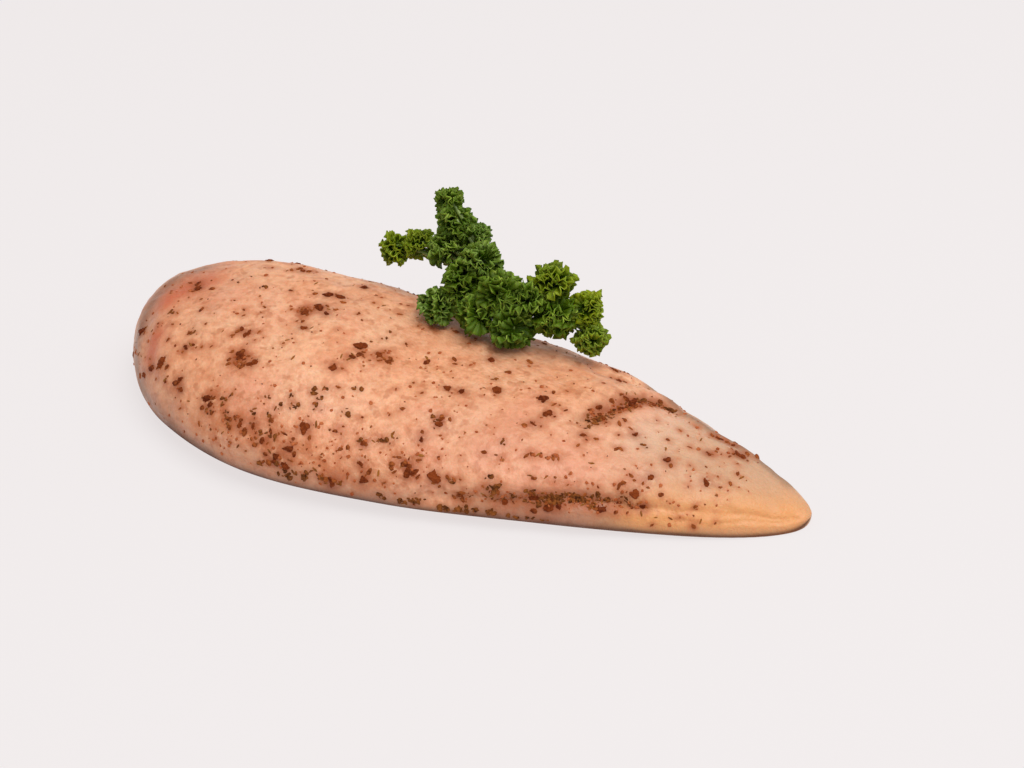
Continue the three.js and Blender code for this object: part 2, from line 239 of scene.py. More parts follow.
# Drifts of seasoning: line from and to, as x and degrees round, spread in mm and degrees, share.
DRIFTS = [
    ((-88, 26), (78, 28), (5, 38), 0.25), ((-88, 74), (80, 80), (5, 36), 0.23),
    ((-80, 130), (80, 130), (5, 38), 0.11), ((-50, 16), (10, 20), (6, 22), 0.12),
    ((18, 5), (60, 18), (4, 9), 0.12), ((41, 78), (54, 122), (3, 8), 0.07),
    ((-44, 81), (-38, 85), (1.5, 3), 0.02), ((33, 43), (40, 44), (1.5, 2), 0.02),
    ((-50, 50), (-46, 50), (2, 5), 0.02), ((-24, 66), (0, 82), (3, 6), 0.04),
]
# Bands of fine herbs in the creases, along the lower edge and on the belly, in the same form.
BANDS = [
    ((36, 12), (44, 13), (2.5, 9), 0.12), ((44, 20), (53, 17), (2.5, 6), 0.09),
    ((20, 15), (35, 12), (3, 6), 0.04), ((16, -9), (43, -10), (3, 5), 0.12),
    ((40, 74), (46, 88), (2, 7), 0.09), ((45, 96), (51, 118), (1.5, 6), 0.06),
    ((51, 118), (57, 130), (1.5, 4), 0.03), ((-50, 22), (-24, 20), (4, 12), 0.06),
    ((-36, 38), (-14, 46), (4, 10), 0.07), ((-6, 36), (0, 38), (4, 8), 0.05),
    ((-30, -1), (-8, 3), (4, 6), 0.09), ((0, -3), (16, -7), (4, 4), 0.06),
    ((-80, 55), (70, 50), (6, 60), 0.12),
]


def drift_places(items, drifts=DRIFTS):
    """Place of each item as x and degrees round: a drift picked by its share, a point along its
    line, and a triangular spread about it."""
    edges = np.cumsum([drift[3] for drift in drifts])
    choice = np.searchsorted(edges, draw(items, 1), side="right") % len(drifts)
    start = np.array([drift[0] for drift in drifts])[choice]
    end = np.array([drift[1] for drift in drifts])[choice]
    spread = np.array([drift[2] for drift in drifts])[choice]
    middle = start + (end - start) * draw(items, 2)[:, None]
    x = middle[:, 0] + spread[:, 0] * (draw(items, 5) + draw(items, 6) - 1)
    degrees = middle[:, 1] + spread[:, 1] * (draw(items, 3) + draw(items, 4) - 1)
    return x, degrees


# Centres taken at a time, and how strong a stain is at its centre.
BATCH = 40
STAIN_DEPTH = 0.9


def spread_mask(points, centres, reach):
    """For each point, how closely spice lies round it: one less the product of one less a share
    of each centre's bell curve, taken a batch of centres at a time."""
    flat = points.reshape(-1, 3)
    clear = np.ones(len(flat))
    for start in range(0, len(centres), BATCH):
        batch = centres[start:start + BATCH]
        square = (flat**2).sum(1)[:, None] + (batch**2).sum(1) - 2 * flat @ batch.T
        clear *= np.prod(1 - STAIN_DEPTH * np.exp(-np.maximum(square, 0) / reach**2), axis=1)
    return 1 - clear


def path_mask(points, path, width):
    """Bell curve of the distance to a path on the skin."""
    return np.exp(-((path_distance(points, path) / width) ** 2))


# Flakes lie at places drawn from the drifts. Every fourth of the smaller crumbs lies close to a
# flake; fine herbs lie in clumps of three; grains of pepper and spice are finer still. Each kind
# has its own run of item numbers.
FLAKES = 104
CRUMBS = 400
GRAINS = 1000
BAND_CRUMBS = 450
FIRST_CRUMB, FIRST_GRAIN, FIRST_BAND = 400, 1000, 3000
GATHERED_EVERY = 4
CRUMB_GATHER = (1.4, 3.4)
CLUMP = 3
CLUMP_REACH = (0.3, 1.4)
MM_PER_DEGREE = 0.6
flake_items = np.arange(FLAKES)
crumb_items = np.arange(CRUMBS) + FIRST_CRUMB
grain_items = np.arange(GRAINS) + FIRST_GRAIN
band_items = np.arange(BAND_CRUMBS) + FIRST_BAND


def stepped(items, x, degrees, reach):
    """Places moved in a random direction by a step between the two lengths of reach."""
    step = reach[0] + (reach[1] - reach[0]) * draw(items, 51)
    way = 2 * math.pi * draw(items, 52)
    return x + step * np.cos(way), degrees + step * np.sin(way) / MM_PER_DEGREE


def crumb_places(items):
    """Drift places, but for every fourth item a step away from a flake."""
    x, degrees = drift_places(items)
    flakes_near = np.floor(draw(items, 50) * FLAKES)
    near_x, near_degrees = stepped(items, *drift_places(flakes_near), CRUMB_GATHER)
    gathered = items % GATHERED_EVERY == 0
    return np.where(gathered, near_x, x), np.where(gathered, near_degrees, degrees)


def band_places(items):
    """Places in the bands of herbs, each a step away from the middle of its clump."""
    return stepped(items, *drift_places(items - items % CLUMP, BANDS), CLUMP_REACH)


# The rim mask follows the sine of the turn, made uneven by lumps of this size and height.
RIM_LUMPS = 7
RIM_UNEVEN = 0.08
RIM_SEED = 34
angles = np.pi * np.arange(1, MEAT_RINGS) / MEAT_RINGS
turns = 2 * np.pi * np.arange(MEAT_COLUMNS) / MEAT_COLUMNS
meat_points = skin(*np.meshgrid(angles, turns, indexing="ij"))
meat_ends = np.array([[-LENGTH / 2, 0, NOSE["lift"]], [LENGTH / 2, 0, TIP["lift"]]])
meat_all = np.concatenate([meat_points.reshape(-1, 3), meat_ends])
meat_moved = wandered(meat_all)
meat_near = np.append(np.tile(np.cos(turns), MEAT_RINGS - 1), [0, 0])
meat_rise = np.append(np.tile(np.sin(turns), MEAT_RINGS - 1), [0, 0])
meat_rise = meat_rise + RIM_UNEVEN * lumps(meat_all, (RIM_LUMPS,) * 3, RIM_SEED)
ring = np.arange(MEAT_COLUMNS)
last_ring = ring + (MEAT_RINGS - 2) * MEAT_COLUMNS
start_cap = np.stack([np.full(MEAT_COLUMNS, len(meat_all) - 2), ring, np.roll(ring, -1)], -1)
end_cap = np.stack([np.full(MEAT_COLUMNS, len(meat_all) - 1), np.roll(last_ring, -1), last_ring], -1)


def spice_mask(x, degrees, reach):
    """Stain round each of the places."""
    centres = skin(station_angle(x), np.radians(degrees))
    return spread_mask(meat_all, centres, reach)


# The dark rim near the floor, painted shade: sine of the turn at its peak, spread above and below
# it, and its strength on the far side.
BASE_RISE = -0.31
BASE_SPREAD = {"above": 0.17, "below": 0.55}
BASE_FAR = 0.45


def base_shade():
    """Painted shade near the floor, a dark rim: a bell curve of the sine of the turn with one
    spread above its peak and a wider one below, weaker on the far side."""
    gap = meat_rise - BASE_RISE
    spread = np.where(gap > 0, BASE_SPREAD["above"], BASE_SPREAD["below"])
    return np.exp(-((gap / spread) ** 2)) * (1 - (1 - BASE_FAR) * (1 - meat_near) / 2)


# Where each tint lies on the skin: paths of x and degrees round, each with its reach and strength.
FAT_STRIP = [(63, 8), (74, 15), (82, 22), (88, 32), (95, 46)]
LIP = [(28, -4), (45, 1), (60, 6)]
OUTER_EDGE = [(-83, 104), (-88, 81), (-90, 51), (-88, 22), (-81, 0), (-66, -6), (-44, -16), (0, -18)]
TINT_PATHS = {
    "fat": [(FAT_STRIP, 7.5, 1)],
    # Painted shade under the lip, below the near crease.
    "lip_shade": [(LIP, 5, 1)],
    "silver": [(SILVERSKIN, 1.9, 1)],
    "pale": [([(56, 78), (59, 96)], 7, 1), ([(68, 122), (78, 126)], 5, 1)],
    "rim": [(OUTER_EDGE, 7, 1)],
    "muted": [([(22, 50), (60, 54)], 13, 1)],
    "blush": [([(-83.5, 66), (-80, 79), (-76, 86)], 5.5, 1), ([(-79.5, 42), (-78, 29)], 4, 1)],
    "rub": [([(-50, 17), (-38, 20), (-27, 17)], 5.5, 1), ([(-15, 13), (-5, 5)], 4, 1)],
    # Brown in the creases: spice stain, and painted shade in their hollows.
    "crease": [(NEAR_CREASE, 2.6, 1), (TOP_CREASE, 2.8, 0.9)],
    # Painted shade: a thin dark line along the outer edge.
    "edge": [(OUTER_EDGE, 2.4, 1)],
}
# How far in mm the spice of each kind stains the flesh round it, and where along x the tip's own
# tint is half way in and how gently it starts.
STAIN_REACH = {"band": 1.1, "stain": 1.9, "halo": 1.4, "dust": 1.2}
TIP_MIDDLE, TIP_FADE = 60, 6


def strongest(paths):
    """Strongest at each point of the bell curves of the distances to several paths."""
    curves = [strength * path_mask(meat_moved, path, reach) for path, reach, strength in paths]
    return np.max(curves, axis=0)


stain_places = {
    "band": band_places(band_items), "stain": drift_places(flake_items),
    "halo": crumb_places(crumb_items), "dust": drift_places(grain_items),
}
meat_masks = {name: strongest(paths) for name, paths in TINT_PATHS.items()}
meat_masks["end"] = 1 / (1 + np.exp((TIP_MIDDLE - meat_all[:, 0]) / TIP_FADE))
meat_masks["base"] = base_shade()
for name, places in stain_places.items():
    meat_masks[name] = spice_mask(*places, STAIN_REACH[name])
meat_faces = [grid_faces(MEAT_RINGS - 1, MEAT_COLUMNS), start_cap, end_cap]
meat = new_piece("breast_meat", meat_all, meat_faces, meat_masks)


def tone(red, green, blue):
    """Linear colour, with alpha, of a display colour given from 0 to 255."""
    display = np.array([red, green, blue]) / 255
    linear = np.where(display <= 0.04045, display / 12.92, ((display + 0.055) / 1.055) ** 2.4)
    return (*linear.tolist(), 1.0)


def add(tree, kind, inputs=None, **settings):
    """New shader node with its settings, and its sockets set to values or linked to sockets."""
    made = tree.nodes.new("ShaderNode" + kind)
    for name, value in settings.items():
        setattr(made, name, value)
    for name, value in (inputs or {}).items():
        if isinstance(value, bpy.types.NodeSocket):
            tree.links.new(value, made.inputs[name])
        else:
            made.inputs[name].default_value = value
    return made


def blend(tree, share, first, second):
    """Colour from first to second by share."""
    mixed = add(tree, "Mix", {0: share, 6: first, 7: second}, data_type="RGBA")
    return mixed.outputs[2]


def maths(tree, operation, first, second=0.0):
    """Result of a sum on one or two values."""
    return add(tree, "Math", {0: first, 1: second}, operation=operation).outputs[0]


def mask(tree, name):
    """Value of a float attribute painted on the mesh."""
    return add(tree, "Attribute", attribute_name=name).outputs["Fac"]


def new_material(name):
    """Material with a Principled shader; returns it, its tree and the shader."""
    material = bpy.data.materials.new(name)
    material.use_nodes = True
    tree = material.node_tree
    return material, tree, tree.nodes["Principled BSDF"]


def patches_group():
    """Shader group: soft uneven patches from 0 to 1 on object coordinates, from a noise whose
    middle range is stretched to full contrast."""
    group = bpy.data.node_groups.new("Uneven patches", "ShaderNodeTree")
    for label, value in (("Scale", 100.0), ("Detail", 3.0), ("Low", 0.35), ("High", 0.65)):
        socket = group.interface.new_socket(label, in_out="INPUT", socket_type="NodeSocketFloat")
        socket.default_value = value
    group.interface.new_socket("Stretch", in_out="INPUT", socket_type="NodeSocketVector")
    group.interface.new_socket("Mask", in_out="OUTPUT", socket_type="NodeSocketFloat")
    entry = group.nodes.new("NodeGroupInput")
    leave = group.nodes.new("NodeGroupOutput")
    place = add(group, "TexCoord").outputs["Object"]
    place = add(group, "VectorMath", {0: place, 1: entry.outputs["Stretch"]}, operation="MULTIPLY")
    noise = add(group, "TexNoise", {
        "Vector": place.outputs[0],
        "Scale": entry.outputs["Scale"], "Detail": entry.outputs["Detail"],
    })
    contrast = add(group, "MapRange", {
        "Value": noise.outputs["Fac"],
        "From Min": entry.outputs["Low"], "From Max": entry.outputs["High"],
    }, interpolation_type="SMOOTHSTEP")
    group.links.new(contrast.outputs["Result"], leave.inputs["Mask"])
    return group


uneven = patches_group()


def patches(tree, scale, low=0.35, high=0.65, detail=3.0, stretch=(1, 1, 1)):
    """The uneven patches group placed in a material with its own values."""
    made = add(tree, "Group", node_tree=uneven)
    values = {"Scale": scale, "Detail": detail, "Low": low, "High": high, "Stretch": stretch}
    for label, value in values.items():
        made.inputs[label].default_value = value
    return made.outputs["Mask"]


def tinted(tree, colour, share, name, tint, broken=None):
    """Colour blended towards a tint where the named mask lies, by at most the share, and broken
    up by a pattern of patches where one is given."""
    where = mask(tree, name)
    if broken is not None:
        where = maths(tree, "MULTIPLY", where, broken)
    return blend(tree, maths(tree, "MULTIPLY", where, share), colour, tint)


PEACH = tone(250, 182, 138)
DEEP_PEACH = tone(222, 142, 98)
PALE_FLESH = tone(250, 198, 158)
PINK_FLESH = tone(238, 156, 124)
ORANGE_FLESH = tone(216, 124, 74)
FAT = tone(236, 162, 94)
TIP_FLESH = tone(204, 162, 128)
MUTED_FLESH = tone(220, 146, 112)
# Grey of the painted shade under the lip.
LIP_SHADE_GREY = tone(140, 86, 58)
RIM_GREY = tone(168, 118, 94)
SILVER = tone(126, 96, 76)
TRANSLUCENT = tone(240, 204, 176)
BLUSH = tone(206, 98, 58)
RUB_ORANGE = tone(186, 94, 36)
# Dark brown of the painted shade near the floor.
FLOOR_SHADE_BROWN = tone(74, 36, 18)
# Brown of the painted shade along the outer edge.
EDGE_SHADE_BROWN = tone(120, 84, 66)
SMUDGE = tone(190, 108, 62)
MOTTLE = tone(204, 124, 80)
STAIN = tone(160, 74, 26)
HALO = tone(188, 98, 48)
DUST = tone(206, 120, 72)
# Brown of spice stains in the creases, which also paints shade in their hollows.
CREASE_STAIN_AND_SHADE = tone(146, 80, 32)

# Mottling of the flesh, laid over each other: scale of the patches, where the noise starts and
# ends, its detail, the share and the tint. The long fibres come after the fourth.
MOTTLING = [
    (110, 0.35, 0.65, 3.0, 0.6, DEEP_PEACH), (46, 0.35, 0.65, 3.0, 0.6, PALE_FLESH),
    (34, 0.5, 0.7, 3.0, 0.6, PINK_FLESH), (300, 0.48, 0.75, 3.0, 0.5, ORANGE_FLESH),
]
FINE_MOTTLING = [
    (560, 0.44, 0.64, 4.0, 0.34, MOTTLE), (430, 0.52, 0.68, 3.0, 0.3, PALE_FLESH),
    (330, 0.56, 0.68, 2.0, 0.5, SMUDGE),
]
FIBRE_SHARE = 0.22
FIBRE_STRETCH = (0.14, 1, 1)
# Patches that break up a painted tint: scale, start and end of the noise.
BREAKS = {
    "coarse": (210, 0.42, 0.58), "fine": (700, 0.42, 0.6), "middling": (420, 0.25, 0.5),
    "blobs": (200, 0.4, 0.52),
}
# Painted tints in the order in which they are laid: mask, share, tint, and what breaks it up.
PAINTED = [
    ("muted", 0.4, MUTED_FLESH, None), ("pale", 0.6, TRANSLUCENT, None),
    ("rim", 0.6, RIM_GREY, None), ("rub", 0.6, RUB_ORANGE, "coarse"),
    # The lip tint is painted shade under the lip.
    ("blush", 0.85, BLUSH, None), ("lip_shade", 0.65, LIP_SHADE_GREY, None),
    ("end", 0.85, TIP_FLESH, None), ("fat", 0.85, FAT, None),
    ("silver", 0.7, SILVER, None), ("dust", 0.6, DUST, "fine"),
    ("halo", 0.8, HALO, "middling"), ("stain", 0.9, STAIN, "middling"),
    # The crease tint is spice stain and painted shade in the creases.
    ("crease", 0.5, CREASE_STAIN_AND_SHADE, "blobs"), ("band", 0.35, STAIN, None),
    # The base tint is painted shade near the floor.
    # The edge tint is painted shade, a thin dark line along the outer edge.
    ("edge", 0.5, EDGE_SHADE_BROWN, None), ("base", 0.9, FLOOR_SHADE_BROWN, None),
]
WET_ROUGHNESS = (0.4, 0.6)
RIM_DULLING = 0.4
WET_FILM = 0.12


def mottled(tree, colour, layers):
    """Colour with each layer of patches laid over it."""
    for scale, low, high, detail, share, tint in layers:
        where = patches(tree, scale, low, high, detail)
        colour = blend(tree, maths(tree, "MULTIPLY", where, share), colour, tint)
    return colour


def flesh_material():
    """Moist raw flesh: peach mottled with paler, pinker and deeper patches and faint long
    fibres, then the painted fat, silverskin, blood and spice stains, painted shade under the lip,
    along the outer edge and near the floor, and brown in the creases that is spice stain and painted
    shade, under a thin wet film."""
    material, tree, shader = new_material("raw_flesh")
    colour = mottled(tree, PEACH, MOTTLING)
    fibres = patches(tree, scale=260, stretch=FIBRE_STRETCH)
    colour = blend(tree, maths(tree, "MULTIPLY", fibres, FIBRE_SHARE), colour, DEEP_PEACH)
    colour = mottled(tree, colour, FINE_MOTTLING)
    breaks = {name: patches(tree, *values) for name, values in BREAKS.items()}
    for name, share, tint, broken in PAINTED:
        colour = tinted(tree, colour, share, name, tint, breaks.get(broken))
    tree.links.new(colour, shader.inputs["Base Color"])
    rough = add(tree, "MapRange", {
        "Value": patches(tree, scale=200), "To Min": WET_ROUGHNESS[0], "To Max": WET_ROUGHNESS[1],
    })
    dull = maths(tree, "MULTIPLY", mask(tree, "base"), RIM_DULLING)
    rough = maths(tree, "ADD", rough.outputs["Result"], dull)
    tree.links.new(rough, shader.inputs["Roughness"])
    film = add(tree, "MapRange", {"Value": mask(tree, "base"), "To Min": WET_FILM, "To Max": 0.0})
    tree.links.new(film.outputs["Result"], shader.inputs["Coat Weight"])
    pores = patches(tree, scale=1100, low=0.2, high=0.8, detail=4.0)
    grain = add(tree, "Bump", {"Height": pores, "Distance": 0.0003, "Strength": 0.5})
    long_fibres = add(tree, "Bump", {
        "Height": fibres, "Distance": 0.0003, "Strength": 0.3, "Normal": grain.outputs["Normal"],
    })
    tree.links.new(long_fibres.outputs["Normal"], shader.inputs["Normal"])
    shader.inputs["Subsurface Weight"].default_value = 0.22
    shader.inputs["Subsurface Radius"].default_value = (1.0, 0.35, 0.18)
    shader.inputs["Subsurface Scale"].default_value = 0.004
    shader.inputs["Coat Roughness"].default_value = 0.3
    return material


meat.data.materials.append(flesh_material())
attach(meat, "root")
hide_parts("breast")

# The seasoning: crumbled dried herbs and cracked pepper pressed into the moist meat. Large flakes
# lie where the solid has them, with crumbs round them and bands of fine herbs in the creases, and
# between them grains of pepper and red spice and shreds of leaf. Each kind is one mesh of pebbles.
FLAKE_LARGEST, FLAKE_SMALLEST = 1.55, 0.75
FLAKE_FLATNESS = 0.55
FLAKE_RAISED = 0.25
FLAKE_ROUND = (-12, 168)
FLAKE_END_MARGIN = 3
# How far each kind keeps above the floor and clear of the parsley's heads, in mm.
FLAKE_CLEAR, CRUMB_CLEAR, BAND_CLEAR, GRAIN_CLEAR = (3.5, 2.0), (1.5, -1.0), (1.5, 0.0), (1.0, -2.0)
# Half lengths in mm: the least, how much chance adds at most, and how rare the large ones are.
CRUMB_SIZE = (0.34, 0.6, 1.5)
BAND_SIZE = (0.3, 0.6, 1.5)
PEPPER_SIZE = (0.2, 0.3, 2)
SPICE_SIZE = (0.24, 0.44, 2)
SHRED_SIZE = (0.5, 0.6, 1)
# Breadth as a share of the length: the least and how much chance adds at most.
FLAKE_BREADTH = (0.5, 0.45)
CRUMB_BREADTH = (0.35, 0.5)
CRUMB_FLATNESS = 0.6
# Grains by chance: pepper below the first share, shreds up to the second, spice above the third.
PEPPER_SHARE, SHRED_SHARE, SPICE_FROM = 0.26, 0.33, 0.46
# How often each kind's pebble is divided, and how strongly it is crumpled.
FLAKE_CRUMPLE, CRUMB_CRUMPLE, BAND_CRUMPLE = (3, 0.8), (2, 0.8), (2, 0.7)
GRAIN_CRUMPLE, SHRED_CRUMPLE = (1, 0.6), (1, 0.5)
# Breadth and thickness of a grain as shares of its length.
PEPPER_FORM, SPICE_FORM, SHRED_FORM = (0.8, 0.6), (0.85, 0.5), (0.3, 0.18)
# Waves that crumple a pebble: the numbers of their draws, how tight they are, how much of the
# crumpling is theirs, and how much is each corner's own.
CRUMPLE_DRAWS = (60, 70, 80)
CRUMPLE_TIGHT = 7
CRUMPLE_WAVES, CRUMPLE_STEPS = 0.7, 0.5
SLOPE_STEP = 0.02
HEADS = [
    ((-15, 23, 53.5), 4.8), ((-12.5, 21.5, 49), 6.6), ((-7, 22, 45.5), 6), ((-29.5, 19, 37.5), 5.6),
    ((-22.5, 20, 40.5), 5.8), ((-13.5, 19, 41.5), 6.6), ((-2.5, 16, 41.5), 7), ((-6, 12, 36.5), 7),
    ((-10, 7, 31), 6.2), ((5.5, 10.5, 37), 7.8), ((0.5, 7.5, 31.5), 7.1), ((12.5, 11, 36.5), 7.5),
    ((11.5, 7, 30.5), 7.2), ((18, 17, 40.5), 7.2), ((21, 13, 33), 7.2), ((28, 17, 34.5), 5.8),
    ((30.5, 14, 28.5), 5.6),
]


def open_skin(x, degrees, floor, clearance):
    """Which places are on the open upper skin: not underneath, near the floor or in the parsley."""
    centres = skin(station_angle(x), np.radians(degrees))
    gaps = [np.linalg.norm(centres - np.array(at), axis=-1) - reach for at, reach in HEADS]
    upper = (degrees > FLAKE_ROUND[0]) & (degrees < FLAKE_ROUND[1])
    inside = upper & (np.abs(x) < LENGTH / 2 - FLAKE_END_MARGIN)
    return inside & (centres[:, 2] > floor) & (np.min(gaps, axis=0) > clearance)


def skin_frames(x, degrees):
    """Point of the skin at each place, with two directions along it and its outward normal, from
    small steps along the two parameters."""
    angle = station_angle(x)
    turn = np.radians(degrees)
    here = skin(angle, turn)
    ahead = skin(angle + SLOPE_STEP, turn) - here
    over = skin(angle, turn + SLOPE_STEP) - here
    normal = np.cross(over, ahead)
    normal /= np.linalg.norm(normal, axis=-1, keepdims=True)
    ahead /= np.linalg.norm(ahead, axis=-1, keepdims=True)
    across = np.cross(normal, ahead)
    return here, ahead, across, normal


def pebble(level):
    """Corners and triangles of an icosahedron, divided level times."""
    shell = bmesh.new()
    bmesh.ops.create_icosphere(shell, subdivisions=level, radius=1)
    corners = np.array([corner.co[:] for corner in shell.verts])
    faces = np.array([[corner.index for corner in face.verts] for face in shell.faces])
    shell.free()
    return corners, faces


def crumpled(items, corners, jitter):
    """How far each corner of each pebble is pushed out: three waves across the pebble in random
    directions, and a smaller random step of each corner."""
    total = np.zeros((len(items), len(corners)))
    for wave in CRUMPLE_DRAWS:
        way = np.stack([draw(items, wave + axis) - 0.5 for axis in range(3)], -1)
        total += np.sin(CRUMPLE_TIGHT * way @ corners.T + 6.3 * draw(items, wave + 3)[:, None]) / 3
    step = draw(items[:, None], 20 + np.arange(len(corners))) - 0.5
    return 1 + jitter * (CRUMPLE_WAVES * total + CRUMPLE_STEPS * step)


def scatter(name, items, places, sizes, level, jitter, raised=0.0):
    """One mesh of many crumpled pebbles. Each is scaled on three axes, turned by chance about the
    skin's normal and centred on the skin or raised by a share of its thickness; its tint is a
    random mask."""
    corners, faces = pebble(level)
    here, ahead, across, normal = skin_frames(*places)
    push = crumpled(items, corners, jitter)
    local = corners[None] * push[..., None]
    spin = 2 * math.pi * draw(items, 8)
    long_size, wide_size, thick_size = sizes
    u = local[..., 0] * long_size[:, None]
    v = local[..., 1] * wide_size[:, None]
    w = (local[..., 2] + raised) * thick_size[:, None]
    p = u * np.cos(spin)[:, None] - v * np.sin(spin)[:, None]
    q = u * np.sin(spin)[:, None] + v * np.cos(spin)[:, None]
    points = here[:, None] + p[..., None] * ahead[:, None] + q[..., None] * across[:, None]
    points = points + w[..., None] * normal[:, None]
    offsets = np.arange(len(items)) * len(corners)
    all_faces = (faces[None] + offsets[:, None, None]).reshape(-1, 3)
    tint = np.repeat(draw(items, 9), len(corners))
    return new_piece(name, points, [all_faces], {"tint": tint}, smooth=False)


# How much of the way to the light colour comes from a piece's own tint, and from its mottling.
CRUMB_TINT, CRUMB_MOTTLE = 0.6, 0.55


def spice_material(name, dark, light, rough):
    """Dry crumb of herb or spice: two colours by the piece's tint, mottled at a fine scale."""
    material, tree, shader = new_material(name)
    mottle = maths(tree, "MULTIPLY", patches(tree, 1400), CRUMB_MOTTLE)
    share = maths(tree, "ADD", maths(tree, "MULTIPLY", mask(tree, "tint"), CRUMB_TINT), mottle)
    colour = blend(tree, share, dark, light)
    tree.links.new(colour, shader.inputs["Base Color"])
    shader.inputs["Roughness"].default_value = rough
    shader.inputs["Specular IOR Level"].default_value = 0.12
    bump = add(tree, "Bump", {"Height": patches(tree, 2500), "Distance": 0.0001, "Strength": 0.5})
    tree.links.new(bump.outputs["Normal"], shader.inputs["Normal"])
    return material


def season(piece, material):
    """Gives a piece of seasoning its finish and its place on the breast."""
    piece.data.materials.append(material)
    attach(piece, "root")
    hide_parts("breast")


def open_items(items, places_of, clear):
    """The items that lie on the open skin, and their places."""
    x, degrees = places_of(items)
    kept = open_skin(x, degrees, *clear)
    return items[kept], (x[kept], degrees[kept])


def choose(items, places, chosen):
    """A choice of items and their places."""
    return items[chosen], (places[0][chosen], places[1][chosen])


def grain_length(items, limits, use):
    """Half length of each grain, within its kind's limits."""
    least, more, rare = limits
    return least + more * draw(items, use) ** rare


def crumb_form(items, limits):
    """The three half sizes of each crumb of herb."""
    length = grain_length(items, limits, 11)
    slim = length * (CRUMB_BREADTH[0] + CRUMB_BREADTH[1] * draw(items, 7))
    return length, slim, slim * CRUMB_FLATNESS


def grain_form(length, breadth, thickness):
    """The three half sizes of each grain, from its half length and two shares of it."""
    return length, length * breadth, length * thickness


open_flakes, flake_spots = open_items(flake_items, drift_places, FLAKE_CLEAR)
flake_length = FLAKE_LARGEST + (FLAKE_SMALLEST - FLAKE_LARGEST) * np.sqrt(open_flakes / FLAKES)
flake_slim = flake_length * (FLAKE_BREADTH[0] + FLAKE_BREADTH[1] * draw(open_flakes, 7))
flake_form = (flake_length, flake_slim, flake_slim * FLAKE_FLATNESS)
flakes = scatter("herb_flakes", open_flakes, flake_spots, flake_form, *FLAKE_CRUMPLE, FLAKE_RAISED)
season(flakes, spice_material("dried_herb", tone(84, 26, 2), tone(138, 62, 20), 0.7))

open_crumbs, crumb_spots = open_items(crumb_items, crumb_places, CRUMB_CLEAR)
crumb_shape = crumb_form(open_crumbs, CRUMB_SIZE)
crumbs = scatter("herb_crumbs", open_crumbs, crumb_spots, crumb_shape, *CRUMB_CRUMPLE)
season(crumbs, spice_material("herb_crumb", tone(100, 36, 6), tone(170, 92, 42), 0.7))

open_band, band_spots = open_items(band_items, band_places, BAND_CLEAR)
band_form = crumb_form(open_band, BAND_SIZE)
bands = scatter("herb_bands", open_band, band_spots, band_form, *BAND_CRUMPLE)
season(bands, spice_material("fine_herb", tone(54, 20, 0), tone(152, 86, 36), 0.7))

open_grains, grain_spots = open_items(grain_items, drift_places, GRAIN_CLEAR)
kind = draw(open_grains, 10)
pepper_items, pepper_spots = choose(open_grains, grain_spots, kind < PEPPER_SHARE)
pepper_form = grain_form(grain_length(pepper_items, PEPPER_SIZE, 11), *PEPPER_FORM)
pepper = scatter("pepper_grains", pepper_items, pepper_spots, pepper_form, *GRAIN_CRUMPLE)
season(pepper, spice_material("cracked_pepper", tone(96, 40, 12), tone(168, 100, 54), 0.7))

spice_items, spice_spots = choose(open_grains, grain_spots, kind > SPICE_FROM)
spice_form = grain_form(grain_length(spice_items, SPICE_SIZE, 12), *SPICE_FORM)
spice = scatter("red_spice", spice_items, spice_spots, spice_form, *GRAIN_CRUMPLE)
season(spice, spice_material("red_spice", tone(150, 66, 28), tone(196, 110, 64), 0.6))

shredded = (kind >= PEPPER_SHARE) & (kind <= SHRED_SHARE)
shred_items, shred_spots = choose(open_grains, grain_spots, shredded)
shred_form = grain_form(grain_length(shred_items, SHRED_SIZE, 13), *SHRED_FORM)
shreds = scatter("herb_shreds", shred_items, shred_spots, shred_form, *SHRED_CRUMPLE)
season(shreds, spice_material("herb_shred", tone(110, 58, 16), tone(164, 104, 44), 0.7))

# The parsley leaves: a fresh sprig of curly parsley. Each head is a tuft of leaflets that fan out
# from the end of a stalk; a leaflet bends outwards, is tightly ruffled and toothed along its edge,
# and is cut as a solid sheet a quarter of a millimetre thick.
HUB = np.array([5.0, 18.0, 27.0])
LEAF_THICKNESS = 0.26
LEAF_ROWS = 5
LEAF_COLUMNS = 38
LEAF_REST = 0.3
LEAFLETS = 15
HEAD_ITEMS = 20
LEAF_FAN = math.radians(96)
LEAF_BASE = (-0.05, 0.3)
LEAF_LENGTH = (0.6, 0.95)
LEAF_BEND = (0.7, 1.7)
LEAF_FOLDS = (11.0, 16.0)
FOLD_HEIGHT = 0.17
GOLDEN_ANGLE = math.pi * (3 - math.sqrt(5))
HEAD_LEAN = (0, -0.5, 0.9)
# Share of a ball's height over which a head's leaflets are spread, and how unevenly.
BALL_SHARE = 0.8
BALL_UNEVEN = 0.5
# A leaflet's outline: how far the fan is closed, the depth of its lobes and how many there are to
# a radian, the depth of its teeth and how many there are to a fold.
FAN_CLOSED = 0.92
LOBE_DEPTH, LOBES = 0.16, 3.2
TOOTH_DEPTH, TEETH = 0.09, 1.5
# Its ruffles: how fast they grow outwards, how unevenly they follow each other, how far they sway,
# the height and rate of the small ones on them, and how far the sides of the leaflet hang.
RUFFLE_GROWTH = 1.3
RUFFLE_UNEVEN = 0.7
RUFFLE_SWAY = 0.9
SMALL_HEIGHT, SMALL_RATE = 0.07, 2.3
SIDE_HANG = 0.25
LEAF_START = 0.06
